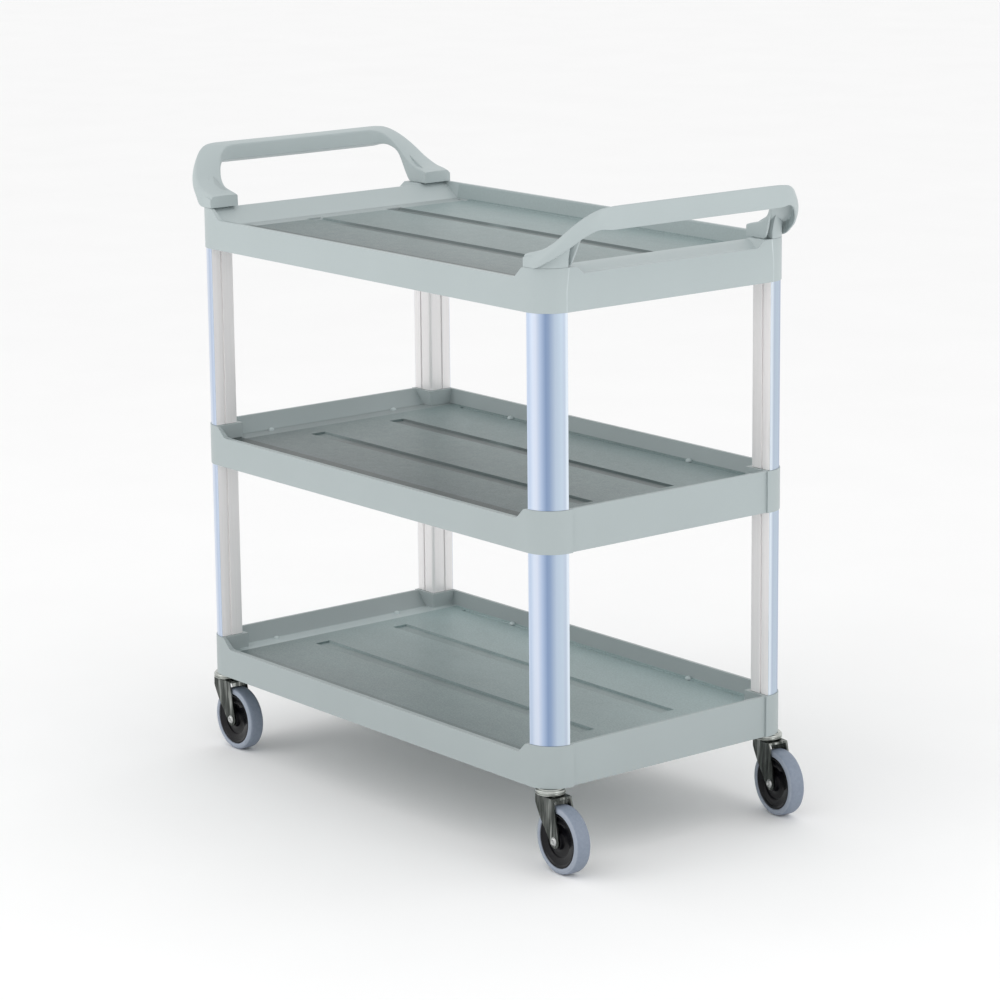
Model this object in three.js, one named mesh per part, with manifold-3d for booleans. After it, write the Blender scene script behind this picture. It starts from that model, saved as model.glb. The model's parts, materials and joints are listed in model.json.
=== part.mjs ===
// Food service trolley: three moulded shelves on aluminium corner uprights, two bow handles
// and four swivel casters.
// Millimetres, +Z up, floor at z = 0, +X along the length (front end), -Y the low-lipped long side.
import * as THREE from 'three';
import { mergeVertices } from 'three/addons/utils/BufferGeometryUtils.js';
import Module from 'manifold-3d';

const wasm = await Module();
wasm.setup();

// ---- sizes of the whole trolley ----
const WIDTH = 472; // over the two long sides of a shelf
const SHELF_LENGTH = 861; // over the two end walls of a shelf
const SHELF_HEIGHT = 63; // underside to top of a corner block
const SHELF_GAP = 281; // clear height between two shelves, the length of an upright
const HANDLE_OVERHANG = 55.5; // bar beyond the end of the shelf
const HANDLE_RISE = 88; // bar top above the corner block
const WHEEL_RADIUS = 50;
const WHEEL_TO_SHELF = 22; // wheel top to shelf underside

// ---- shelf moulding ----
const TRAY_DEPTH = 24; // corner block top to tray floor
const LIP_DROP = 16.5; // how far the -Y side is cut down
const RAMP_LENGTH = 19; // lip climbs to the block over this length
const BLOCK = 49; // corner block, measured in from both outer faces
const CORNER_RADIUS = 43.5;
const RIM = 5; // wall thickness at the rim
const SKIRT = 4; // wall thickness below the tray
const FLOOR = 6; // tray floor thickness
const END_RECESS = 3.5; // end wall set back between two corner blocks
const END_WALL_FOOT = 30.5; // end face to tray floor, lower shelves
const SIDE_WALL_FOOT = 10; // side face to tray floor
const TOP_WALL_FOOT = 78.5; // end face to tray floor, top shelf
const TOP_WALL_CREST = 38.5; // end face to the crest of the thick end wall, top shelf
const SCOOP_DEPTH = 11; // finger scoop below the block top
const GROOVE_LINE = 78; // floor groove centre from the middle
const GROOVE_WIDTH = 28;
const GROOVE_DEPTH = 3;

// ---- uprights ----
const POST_RADIUS = 42;
const POST_SKIN = 2.5; // thickness of the curved wall
const POST_FLAT = 4.6; // thickness of the flat walls
const POST_SLOT_WIDTH = 3;
const POST_SLOT_DEPTH = 2.2;
const SPIGOT_LENGTH = 25; // plug on the shelf that enters the upright

// ---- handle ----
const BAR_THICKNESS = 21;
const BAR_HEIGHT = 33;
const BAR_BEND = 76; // plan radius of the bow's outer face
const INNER_BEND = 52; // plan radius of its inner face
const ARM_WIDTH = 52; // foot and arm, measured in from the side
const FOOT_LENGTH = 48;

// ---- caster ----
const TYRE_WIDTH = 26;
const TYRE_THICKNESS = 9.5;
const SHEET = 2.5; // fork sheet
const FORK_GAP = 1.5; // tyre side to fork leg
const TRAIL = 31; // swivel axis to axle
const STEM_INSET = 24; // swivel axis from both outer faces
const STEM_RADIUS = 6;
const AXLE_RADIUS = 4;
const RACE_RADIUS = 22;

// ---- fits ----
const GAP = 0.3; // between pieces that touch
const SLIP = 0.4; // between a spigot and the inside of an upright

const HALF_W = WIDTH / 2;
const HALF_L = SHELF_LENGTH / 2;
const CASTER_HEIGHT = 2 * WHEEL_RADIUS + WHEEL_TO_SHELF;
const SHELF_PITCH = SHELF_HEIGHT + SHELF_GAP;
const SEAT = CASTER_HEIGHT + 2 * SHELF_PITCH + SHELF_HEIGHT; // top of the upper corner blocks
const TRAY_FLOOR = SHELF_HEIGHT - TRAY_DEPTH;
const SCREW_INSET = 25;
const SCREW_SEAT = SHELF_HEIGHT - 13; // screw head bears here, measured from the shelf underside

const CORNERS = [
  { name: 'front_right', sx: 1, sy: -1, turn: -3 },
  { name: 'front_left', sx: 1, sy: 1, turn: -8 },
  { name: 'rear_right', sx: -1, sy: -1, turn: 0 },
  { name: 'rear_left', sx: -1, sy: 1, turn: 0 },
];

// ---- materials ----
function material(colour, roughness, metalness) {
  return new THREE.MeshStandardMaterial({ color: colour, roughness: roughness, metalness: metalness });
}

// ---- shape helpers ----
function toSolid(geometry) {
  geometry.deleteAttribute('normal');
  geometry.deleteAttribute('uv');
  const merged = mergeVertices(geometry, 1e-4);
  const vertProperties = new Float32Array(merged.attributes.position.array);
  const triVerts = new Uint32Array(merged.index.array);
  return new wasm.Manifold(new wasm.Mesh({ numProp: 3, vertProperties, triVerts }));
}

function toGeometry(solid) {
  const mesh = solid.getMesh();
  const indexed = new THREE.BufferGeometry();
  indexed.setAttribute('position', new THREE.BufferAttribute(mesh.vertProperties, 3));
  indexed.setIndex(new THREE.BufferAttribute(mesh.triVerts, 1));
  const geometry = indexed.toNonIndexed();
  geometry.computeVertexNormals();
  return geometry;
}

function arc(cx, cy, radius, from, to, steps) {
  const points = [];
  for (let i = 0; i <= steps; i += 1) {
    const angle = THREE.MathUtils.degToRad(from + ((to - from) * i) / steps);
    points.push([cx + radius * Math.cos(angle), cy + radius * Math.sin(angle)]);
  }
  return points;
}

function mirrored(points, sx, sy) {
  return points.map(([x, y]) => [sx * x, sy * y]);
}

function extrude(points, depth) {
  const shape = new THREE.Shape(points.map(([x, y]) => new THREE.Vector2(x, y)));
  return new THREE.ExtrudeGeometry(shape, { depth: depth, bevelEnabled: false });
}

// Outline in (x, y), from z0 to z1.
function alongZ(points, z0, z1) {
  return toSolid(extrude(points, z1 - z0).translate(0, 0, z0));
}

// Outline in (x, z), from y0 to y1.
function alongY(points, y0, y1) {
  return toSolid(extrude(points, y1 - y0).rotateX(Math.PI / 2).translate(0, y1, 0));
}

// Outline in (y, z), from x0 to x1.
function alongX(points, x0, x1) {
  return toSolid(extrude(points, x1 - x0).rotateX(Math.PI / 2).rotateZ(Math.PI / 2).translate(x0, 0, 0));
}

function box(x0, x1, y0, y1, z0, z1) {
  const geometry = new THREE.BoxGeometry(x1 - x0, y1 - y0, z1 - z0);
  return toSolid(geometry.translate((x0 + x1) / 2, (y0 + y1) / 2, (z0 + z1) / 2));
}

function rod(x, y, radius, z0, z1, sides = 16) {
  const geometry = new THREE.CylinderGeometry(radius, radius, z1 - z0, sides);
  return toSolid(geometry.rotateX(Math.PI / 2).translate(x, y, (z0 + z1) / 2));
}

// Profile of [radius, height] turned about Z.
function turned(profile, sides) {
  const points = profile.map(([r, z]) => new THREE.Vector2(r, z));
  return new THREE.LatheGeometry(points, sides).rotateX(Math.PI / 2);
}

function closed(profile) {
  return [...profile, profile[0]];
}

// ---- upright section, drawn for the (+X, +Y) corner from the centre of its arc ----
function postOutline() {
  const mid = POST_RADIUS * 0.57;
  const half = POST_SLOT_WIDTH / 2;
  const flat = [[mid - half, 0], [mid - half, POST_SLOT_DEPTH]];
  flat.push([mid + half, POST_SLOT_DEPTH], [mid + half, 0]);
  const other = flat.map(([x, y]) => [y, x]).reverse();
  const nose = arc(6, 6, 6, 180, 270, 4);
  const curve = arc(0, 0, POST_RADIUS, 2, 88, 10);
  return [...nose, ...flat, [POST_RADIUS - 1.2, 0], ...curve, [0, POST_RADIUS - 1.2], ...other];
}

function postVoid(clearance) {
  const flat = POST_FLAT + clearance;
  const radius = POST_RADIUS - POST_SKIN - clearance;
  const tilt = THREE.MathUtils.radToDeg(Math.asin(flat / radius));
  return [[flat, flat], ...arc(0, 0, radius, tilt, 90 - tilt, 6)];
}

function atCorner(points, corner) {
  const cx = corner.sx * (HALF_L - CORNER_RADIUS);
  const cy = corner.sy * (HALF_W - CORNER_RADIUS);
  return mirrored(points, corner.sx, corner.sy).map(([x, y]) => [x + cx, y + cy]);
}

function uprightGeometry(corner) {
  const length = SHELF_GAP - 2 * GAP;
  const solid = alongZ(atCorner(postOutline(), corner), 0, length);
  return toGeometry(solid.subtract(alongZ(atCorner(postVoid(0), corner), -1, length + 1)));
}

// ---- shelf ----
function shelfOutline(recess) {
  const cx = HALF_L - CORNER_RADIUS;
  const cy = HALF_W - CORNER_RADIUS;
  const step = HALF_W - BLOCK;
  const wall = HALF_L - recess;
  const corner = arc(cx, cy, CORNER_RADIUS, 0, 90, 8);
  const quarter = recess > 0 ? [[wall, step], [HALF_L, step], ...corner] : corner;
  const second = mirrored(quarter, -1, 1).reverse();
  const third = mirrored(quarter, -1, -1);
  const fourth = mirrored(quarter, 1, -1).reverse();
  return [...quarter, ...second, ...third, ...fourth];
}

function lowerTray() {
  const foot = HALF_L - END_WALL_FOOT;
  const rim = HALF_L - END_RECESS - RIM;
  const high = SHELF_HEIGHT + 5;
  const ends = [[-foot, TRAY_FLOOR], [foot, TRAY_FLOOR], [rim, SHELF_HEIGHT], [rim, high]];
  ends.push([-rim, high], [-rim, SHELF_HEIGHT]);
  const reach = HALF_W - BLOCK;
  return alongY(ends, -reach, reach).add(sideTray(HALF_L - BLOCK));
}

function sideTray(reach) {
  const foot = HALF_W - SIDE_WALL_FOOT;
  const rim = HALF_W - RIM;
  const high = SHELF_HEIGHT + 5;
  const sides = [[-foot, TRAY_FLOOR], [foot, TRAY_FLOOR], [rim, SHELF_HEIGHT], [rim, high]];
  sides.push([-rim, high], [-rim, SHELF_HEIGHT]);
  return alongX(sides, -reach, reach);
}

function topTray() {
  const foot = HALF_L - TOP_WALL_FOOT;
  const crest = HALF_L - TOP_WALL_CREST;
  const crestZ = SHELF_HEIGHT - 2;
  const slope = (crest - foot) / (crestZ - TRAY_FLOOR);
  const high = SHELF_HEIGHT + 5;
  const edge = crest + slope * (high - crestZ);
  const ends = [[-foot, TRAY_FLOOR], [foot, TRAY_FLOOR], [edge, high], [-edge, high]];
  return alongY(ends, -HALF_W, HALF_W).intersect(sideTray(HALF_L));
}

// Curved clearance for the fingers on top of one thick end wall.
function fingerScoop(side) {
  const crest = HALF_L - TOP_WALL_CREST;
  const low = SHELF_HEIGHT - SCOOP_DEPTH;
  const span = HALF_L - crest;
  const curve = [[0, -1.8], [0.2, -2.4], [0.45, -5], [0.7, -8.6], [0.88, -10.6]];
  const points = curve.map(([t, z]) => [side * (crest + t * span), SHELF_HEIGHT + z]);
  const outer = side * (HALF_L + 10);
  points.push([outer, low], [outer, SHELF_HEIGHT + 10], [side * crest, SHELF_HEIGHT + 10]);
  const reach = HALF_W - BLOCK - 9;
  const across = [[-reach + 14, low], [reach - 14, low], [reach, SHELF_HEIGHT], [reach, SHELF_HEIGHT + 10]];
  across.push([-reach, SHELF_HEIGHT + 10], [-reach, SHELF_HEIGHT]);
  const length = HALF_L + 20;
  return alongY(points, -HALF_W, HALF_W).intersect(alongX(across, -length, length));
}

function lipCut() {
  const block = HALF_L - BLOCK;
  const low = SHELF_HEIGHT - LIP_DROP;
  const ramp = block - RAMP_LENGTH;
  const right = [[ramp - 3, low], [ramp + 2, low + 1]];
  right.push([block - 2, SHELF_HEIGHT - 1], [block + 3, SHELF_HEIGHT]);
  const left = mirrored(right, -1, 1).reverse();
  const lift = [[block + 3, SHELF_HEIGHT + 5], [-block - 3, SHELF_HEIGHT + 5]];
  return alongY([...right, ...lift, ...left], -HALF_W - 1, -HALF_W + SIDE_WALL_FOOT + 1);
}

function underside(top) {
  const ceiling = TRAY_FLOOR - FLOOR;
  const end = HALF_L - END_RECESS - SKIRT;
  const side = HALF_W - SKIRT;
  const block = BLOCK + 6;
  const rib = 2;
  let hollow = box(-end, end, -GROOVE_LINE + rib, GROOVE_LINE - rib, -1, ceiling);
  for (const sy of [-1, 1]) {
    const inner = sy * (GROOVE_LINE + rib);
    const middle = sy * (HALF_W - block);
    const outer = sy * side;
    const near = box(-end, end, Math.min(inner, middle), Math.max(inner, middle), -1, ceiling);
    const reach = HALF_L - block;
    const far = box(-reach, reach, Math.min(inner, outer), Math.max(inner, outer), -1, ceiling);
    hollow = hollow.add(near).add(far);
  }
  if (top) {
    const from = HALF_L - TOP_WALL_FOOT + 22;
    const reach = HALF_W - block - 20;
    const under = SHELF_HEIGHT - SCOOP_DEPTH - SKIRT;
    hollow = hollow.add(box(from, end, -reach, reach, -1, under));
    hollow = hollow.add(box(-end, -from, -reach, reach, -1, under));
  }
  return hollow;
}

function floorGroove(y, width, depth, reach) {
  const high = TRAY_FLOOR + 2;
  const half = width / 2;
  const foot = half - depth;
  const low = TRAY_FLOOR - depth;
  const points = [[y - foot, low], [y + foot, low], [y + half, TRAY_FLOOR]];
  points.push([y + half, high], [y - half, high], [y - half, TRAY_FLOOR]);
  return alongX(points, -reach, reach);
}

function shelf({ top = false, spigotUp = false, spigotDown = false, stemHoles = false, screwHoles = false }) {
  let body = alongZ(shelfOutline(top ? 0 : END_RECESS), 0, SHELF_HEIGHT);
  body = body.subtract(top ? topTray() : lowerTray());
  if (top) {
    body = body.subtract(fingerScoop(1)).subtract(fingerScoop(-1));
  }
  body = body.subtract(lipCut()).subtract(underside(top));
  const reach = HALF_L - TOP_WALL_FOOT - 22;
  for (const sy of [-1, 1]) {
    body = body.subtract(floorGroove(sy * GROOVE_LINE, GROOVE_WIDTH, GROOVE_DEPTH, reach));
    body = body.subtract(floorGroove(sy * (HALF_W - 17), 9, 2, reach + 10));
  }
  for (const corner of CORNERS) {
    const plug = atCorner(postVoid(SLIP), corner);
    if (spigotUp) {
      body = body.add(alongZ(plug, SHELF_HEIGHT - 1, SHELF_HEIGHT + SPIGOT_LENGTH));
    }
    if (spigotDown) {
      body = body.add(alongZ(plug, -SPIGOT_LENGTH, 1));
    }
    if (stemHoles) {
      const x = corner.sx * (HALF_L - STEM_INSET);
      const y = corner.sy * (HALF_W - STEM_INSET);
      body = body.subtract(rod(x, y, STEM_RADIUS + GAP, -1, 36, 12));
    }
    if (screwHoles) {
      const x = corner.sx * (HALF_L - SCREW_INSET);
      const y = corner.sy * (HALF_W - SCREW_INSET);
      body = body.subtract(rod(x, y, 6.3, -SPIGOT_LENGTH - 1, SCREW_SEAT, 12));
      body = body.subtract(rod(x, y, 3.3, SCREW_SEAT - 1, SHELF_HEIGHT + 1, 12));
    }
  }
  return toGeometry(body);
}

// ---- handle at the +X end, z = 0 on the corner blocks ----
// Heights of the bow by the angle of its bend: 0 at the bar, 90 where the arm runs straight back.
const BOW_TOP = [[0, 87.6], [15, 85.8], [26, 80.5], [37, 72.6], [47, 63], [58, 50.8], [69, 38.2], [82, 28.8]];
const BOW_OUTER_EDGE = [[15, 57.5], [26, 52.1], [37, 44.2], [47, 34.5], [58, 24.5], [69, 15.3]];
BOW_OUTER_EDGE.push([82, 6.1], [90, 0]);
const BOW_INNER_EDGE = [[0, 60.5], [27, 61], [38, 58.4], [49, 52.8], [59, 43.1], [66, 33.9], [71, 25]];
BOW_INNER_EDGE.push([75, 18], [78, 10], [82, 0]);

// Points of a height table laid out along one axis; place turns an angle into that axis.
function alongBow(table, place) {
  const rise = HANDLE_RISE / 88;
  return table.map(([angle, height]) => [place(THREE.MathUtils.degToRad(angle)), height * rise]);
}

function handle() {
  const u = (value) => HALF_L + value;
  const rise = HANDLE_RISE / 88;
  const barInner = HANDLE_OVERHANG - BAR_THICKNESS;
  const barLow = HANDLE_RISE - BAR_HEIGHT;
  const armInner = HALF_W - ARM_WIDTH;
  const back = u(-FOOT_LENGTH);
  const length = HALF_W + 5;

  const outerBow = arc(u(HANDLE_OVERHANG - BAR_BEND), HALF_W - BAR_BEND, BAR_BEND, 0, 90, 10);
  const innerX = u(barInner - INNER_BEND);
  const innerBow = arc(innerX, armInner - INNER_BEND, INNER_BEND, 90, 0, 8);
  const halfPlan = [...outerBow, [back, HALF_W], [back, armInner], ...innerBow];
  const plan = [...halfPlan, ...mirrored(halfPlan, 1, -1).reverse()];

  const inX = (angle) => innerX + INNER_BEND * Math.cos(angle);
  const outY = (angle) => HALF_W - BAR_BEND + BAR_BEND * Math.sin(angle);
  const armTop = [[u(-20), 25.3 * rise], [u(-31), 21.9 * rise], [u(4 - FOOT_LENGTH), 19.2 * rise]];
  const top = [...alongBow(BOW_TOP, inX).slice(2), ...armTop, [back + 2.5, 17 * rise], [back, 0]];
  const crown = [[u(HANDLE_OVERHANG), 0], [u(HANDLE_OVERHANG), HANDLE_RISE - 4]];
  crown.push([u(HANDLE_OVERHANG - 1.6), HANDLE_RISE - 1], [u(HANDLE_OVERHANG - 4), HANDLE_RISE]);
  crown.push([u(barInner), HANDLE_RISE - 3.6]);
  const topSide = alongY([...crown, ...top], -length, length);

  const shoulder = [[HALF_W, 0], [HALF_W, 27 * rise], ...alongBow(BOW_TOP, outY).reverse()];
  const front = [...shoulder, ...mirrored(shoulder, -1, 1).reverse()];
  const topFront = alongX(front, back - 10, u(HANDLE_OVERHANG + 10));

  const tip = u(HANDLE_OVERHANG + 5);
  const underSide = [[tip, -5], [tip, barLow - 1], ...alongBow(BOW_INNER_EDGE, inX), [inX(1.45), -5]];
  const edge = [...alongBow(BOW_OUTER_EDGE, outY).reverse(), [HALF_W - BAR_BEND, barLow + 8]];
  const underFront = [[HALF_W, -5], ...edge, ...mirrored(edge, -1, 1).reverse(), [-HALF_W, -5]];
  const under = alongY(underSide, -length, length).intersect(alongX(underFront, back, tip));

  let body = alongZ(plan, 0, HANDLE_RISE + 1).intersect(topSide).intersect(topFront).subtract(under);

  // Each foot fills the corner of the shelf and is open to the front beside its inner wall.
  const footTop = [[back, 0], [HALF_L, 0], [HALF_L, 30 * rise], [u(-20), 22 * rise], [back + 3, 14 * rise]];
  const footLimit = alongY(footTop, -length, length);
  const footCorner = arc(HALF_L - CORNER_RADIUS, HALF_W - CORNER_RADIUS, CORNER_RADIUS, 0, 90, 8);
  const inner = HALF_W - CORNER_RADIUS;
  const footPlan = [[back, inner], ...footCorner, [back, HALF_W]];
  for (const sy of [-1, 1]) {
    body = body.add(alongZ(mirrored(footPlan, 1, sy), 0, HANDLE_RISE / 2).intersect(footLimit));
    const near = Math.min(sy * (armInner + 3), sy * inner);
    body = body.subtract(box(u(-26), u(14), near, near + inner - armInner - 3, -1, 16 * rise));
    body = body.subtract(box(u(-9), u(14), near, near + inner - armInner - 3, -1, 27 * rise));
    body = body.subtract(rod(HALF_L - SCREW_INSET, sy * (HALF_W - SCREW_INSET), 3.3, -1, 15, 12));
  }
  return toGeometry(body);
}

// ---- caster pieces, swivel axis at x = y = 0, floor at z = 0 ----
function forkGeometry() {
  const legOut = TYRE_WIDTH / 2 + FORK_GAP + SHEET;
  const legIn = legOut - SHEET;
  const top = CASTER_HEIGHT - 11;
  const plate = top - 3;
  const k = (top - WHEEL_RADIUS) / 61;
  const lobe = arc(TRAIL, WHEEL_RADIUS, 10.5, 212, 360, 6);
  const heel = [[-RACE_RADIUS, 53], [-14, 49], [-9.5, 40], [-1, 25.7], [10, 12]];
  const toe = [[TRAIL + 7.6, 13.4], [TRAIL + 2, 39.5], [TRAIL - 3.5, 61], [-RACE_RADIUS, 61]];
  const rise = (points) => points.map(([x, z]) => [x, WHEEL_RADIUS + z * k]);
  const side = [...rise(heel), ...lobe, ...rise(toe)];
  const turnOut = THREE.MathUtils.radToDeg(Math.asin(legOut / RACE_RADIUS));
  const far = TRAIL + 20;
  const plan = [[far, -legOut], [far, legOut], ...arc(0, 0, RACE_RADIUS, 180 - turnOut, 180 + turnOut, 8)];
  const inner = RACE_RADIUS - SHEET;
  const turnIn = THREE.MathUtils.radToDeg(Math.asin(legIn / inner));
  const bay = [[far + 5, -legIn], [far + 5, legIn], ...arc(0, 0, inner, 180 - turnIn, 180 + turnIn, 8)];
  let body = alongY(side, -legOut - 1, legOut + 1).intersect(alongZ(plan, 0, top + 1));
  body = body.subtract(alongZ(bay, -1, plate));
  body = body.add(rod(0, 0, RACE_RADIUS - 4, top - 1, top + 1.2, 20));
  body = body.subtract(rod(0, 0, STEM_RADIUS + GAP, plate - 5, top + 5, 12));
  const hole = new THREE.CylinderGeometry(AXLE_RADIUS + GAP, AXLE_RADIUS + GAP, 80, 12);
  body = body.subtract(toSolid(hole.translate(TRAIL, 0, WHEEL_RADIUS)));
  return toGeometry(body);
}

function stemGeometry() {
  const head = CASTER_HEIGHT - 14 - GAP;
  const tip = CASTER_HEIGHT + 34;
  const profile = [[0, head - 3], [8, head - 3], [10, head - 1.5], [10, head], [STEM_RADIUS, head]];
  profile.push([STEM_RADIUS, tip - 2], [STEM_RADIUS - 1.5, tip], [0, tip]);
  return turned(profile, 12);
}

function raceGeometry() {
  const low = CASTER_HEIGHT - 11 + 1.2 + GAP;
  const high = CASTER_HEIGHT - GAP;
  const bore = STEM_RADIUS + GAP;
  const r = RACE_RADIUS;
  const profile = [[bore, low], [r - 1.5, low], [r, low + 1.5], [r, high - 3]];
  profile.push([r - 1, high - 1.8], [r - 3, high - 1.8], [r - 3, high], [bore, high]);
  return turned(closed(profile), 20);
}

function axleGeometry() {
  const face = TYRE_WIDTH / 2 + FORK_GAP + SHEET + GAP;
  const profile = [[0, -face - 2.8], [5, -face - 2.8], [6.3, -face - 1.6], [6.3, -face]];
  profile.push([AXLE_RADIUS, -face]);
  profile.push([AXLE_RADIUS, face + 5.6], [AXLE_RADIUS - 1, face + 6.4], [0, face + 6.4]);
  return turned(profile, 12);
}

function nutGeometry() {
  const face = TYRE_WIDTH / 2 + FORK_GAP + SHEET + GAP;
  const bore = (AXLE_RADIUS + GAP) / Math.cos(Math.PI / 6); // the six flats clear the bolt
  const end = face + 5.5;
  return turned(closed([[bore, face], [6.6, face], [7.5, face + 0.9], [7.5, end], [bore, end]]), 6);
}

function bushGeometry() {
  const reach = TYRE_WIDTH / 2 + FORK_GAP - GAP;
  const bore = AXLE_RADIUS + GAP;
  return turned(closed([[bore, -reach], [6.5, -reach], [6.5, reach], [bore, reach]]), 12);
}

function coreGeometry() {
  const rim = WHEEL_RADIUS - TYRE_THICKNESS - GAP;
  const face = TYRE_WIDTH / 2 - 1.5;
  const hub = TYRE_WIDTH / 2 + 0.6;
  const half = [[6.8, hub], [12, hub], [14, 7.5], [rim * 0.62, 6.5], [rim * 0.68, 9]];
  half.push([rim * 0.9, face - 1.5], [rim, face]);
  const far = half.map(([r, y]) => [r, -y]);
  return turned(closed([...far, ...half.reverse()]), 24);
}

function tyreGeometry() {
  const bore = WHEEL_RADIUS - TYRE_THICKNESS;
  const half = TYRE_WIDTH / 2;
  const shoulder = [[bore, half - 1], [WHEEL_RADIUS - 5, half], [WHEEL_RADIUS - 2.5, half - 0.8]];
  shoulder.push([WHEEL_RADIUS - 0.8, half - 3.5], [WHEEL_RADIUS, half - 8]);
  const far = shoulder.map(([r, y]) => [r, -y]);
  return turned(closed([...far, ...shoulder.reverse()]), 24);
}

function screwGeometry() {
  const seat = SCREW_SEAT - GAP;
  const tip = SHELF_HEIGHT + GAP + 13;
  const profile = [[0, seat - 3], [2.2, seat - 3], [2.2, seat - 4.5], [4.6, seat - 4.5]];
  profile.push([5.5, seat - 3], [5.5, seat], [3, seat], [3, tip - 2], [1.5, tip], [0, tip]);
  return turned(profile, 8);
}

// ---- assembly ----
const plastic = () => material(0xb7c2c3, 0.55, 0);
const aluminium = () => material(0xd5d8de, 0.28, 1);
const zinc = () => material(0x9fa6a6, 0.35, 1);
const steel = () => material(0xb9bcc0, 0.3, 1);
const black = () => material(0x0d0d0f, 0.25, 0);
const rubber = () => material(0x97a3b8, 0.7, 0);

const trolley = new THREE.Group();
trolley.name = 'food_service_trolley';

function addPiece(parent, name, geometry, finish, z = 0) {
  const mesh = new THREE.Mesh(geometry, finish);
  mesh.name = name;
  mesh.position.z = z;
  parent.add(mesh);
  return mesh;
}

const bottomShelf = shelf({ spigotUp: true, stemHoles: true });
const middleShelf = shelf({ spigotUp: true, spigotDown: true });
const topShelf = shelf({ top: true, spigotDown: true, screwHoles: true });
addPiece(trolley, 'shelf_bottom', bottomShelf, plastic(), CASTER_HEIGHT);
addPiece(trolley, 'shelf_middle', middleShelf, plastic(), CASTER_HEIGHT + SHELF_PITCH);
addPiece(trolley, 'shelf_top', topShelf, plastic(), CASTER_HEIGHT + 2 * SHELF_PITCH);

addPiece(trolley, 'handle_front', handle(), plastic(), SEAT + GAP);
const rearHandle = addPiece(trolley, 'handle_rear', handle(), plastic(), SEAT + GAP);
rearHandle.rotation.z = Math.PI;

for (const corner of CORNERS) {
  for (const [level, name] of ['lower', 'upper'].entries()) {
    const geometry = uprightGeometry(corner);
    const z = CASTER_HEIGHT + SHELF_HEIGHT + level * SHELF_PITCH + GAP;
    addPiece(trolley, `upright_${name}_${corner.name}`, geometry, aluminium(), z);
  }
  const screw = addPiece(trolley, `handle_screw_${corner.name}`, screwGeometry(), steel());
  const screwX = corner.sx * (HALF_L - SCREW_INSET);
  const screwY = corner.sy * (HALF_W - SCREW_INSET);
  screw.position.set(screwX, screwY, SEAT - SHELF_HEIGHT);

  const caster = new THREE.Group();
  caster.name = `caster_${corner.name}`;
  caster.position.set(corner.sx * (HALF_L - STEM_INSET), corner.sy * (HALF_W - STEM_INSET), 0);
  caster.rotation.z = THREE.MathUtils.degToRad(corner.turn);
  trolley.add(caster);
  addPiece(caster, `caster_stem_${corner.name}`, stemGeometry(), steel());
  addPiece(caster, `caster_race_${corner.name}`, raceGeometry(), zinc());
  addPiece(caster, `caster_fork_${corner.name}`, forkGeometry(), zinc());
  const wheelParts = [
    ['axle_bolt', axleGeometry(), steel()],
    ['axle_nut', nutGeometry(), steel()],
    ['wheel_bush', bushGeometry(), steel()],
    ['wheel_core', coreGeometry(), black()],
    ['wheel_tyre', tyreGeometry(), rubber()],
  ];
  for (const [name, geometry, finish] of wheelParts) {
    const piece = addPiece(caster, `${name}_${corner.name}`, geometry, finish);
    piece.position.set(TRAIL, 0, WHEEL_RADIUS);
    piece.rotation.x = -Math.PI / 2;
  }
}

export default trolley;
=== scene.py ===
import bmesh
import bpy
import json
import numpy as np
from math import radians, sin, cos
from mathutils import Matrix, Vector


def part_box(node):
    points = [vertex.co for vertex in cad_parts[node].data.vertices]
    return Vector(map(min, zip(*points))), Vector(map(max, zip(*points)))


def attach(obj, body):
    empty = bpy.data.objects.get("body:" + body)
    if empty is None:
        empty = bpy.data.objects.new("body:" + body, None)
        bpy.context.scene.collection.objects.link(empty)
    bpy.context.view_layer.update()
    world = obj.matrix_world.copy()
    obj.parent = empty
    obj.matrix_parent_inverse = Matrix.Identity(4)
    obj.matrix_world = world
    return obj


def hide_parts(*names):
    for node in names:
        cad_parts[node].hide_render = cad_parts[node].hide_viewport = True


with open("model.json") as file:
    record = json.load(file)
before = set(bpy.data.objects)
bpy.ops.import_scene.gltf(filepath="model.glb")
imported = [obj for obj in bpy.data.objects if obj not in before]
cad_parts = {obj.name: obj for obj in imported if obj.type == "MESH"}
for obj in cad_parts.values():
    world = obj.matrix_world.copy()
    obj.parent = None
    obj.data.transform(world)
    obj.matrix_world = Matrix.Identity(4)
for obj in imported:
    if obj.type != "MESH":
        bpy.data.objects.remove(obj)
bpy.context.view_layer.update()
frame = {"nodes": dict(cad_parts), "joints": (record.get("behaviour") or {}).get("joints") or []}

# ---- Camera ----
# A long lens, a little above the top shelf, that looks at one corner of the trolley, so that one
# long side and one end both show.
azimuth, elevation, roll = radians(51.314), radians(12.885), radians(-0.582)
target = Vector((0.01286, 0.01607, 0.4400))
back = Vector((sin(azimuth) * cos(elevation), -cos(azimuth) * cos(elevation), sin(elevation)))
right = Vector((cos(azimuth), sin(azimuth), 0.0))
up = back.cross(right)
level = cos(roll) * right + sin(roll) * up
upright_axis = -sin(roll) * right + cos(roll) * up
camera = bpy.data.objects.new("camera", bpy.data.cameras.new("camera"))
camera.data.lens = 127.52
camera.data.sensor_width = 36.0
camera.data.clip_end = 100.0
camera.matrix_world = Matrix.Translation(target + back * 5.4403) @ Matrix(
    (level, upright_axis, back)).transposed().to_4x4()
bpy.context.scene.collection.objects.link(camera)
bpy.context.scene.camera = camera
bpy.context.scene.view_settings.view_transform = "Standard"


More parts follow.
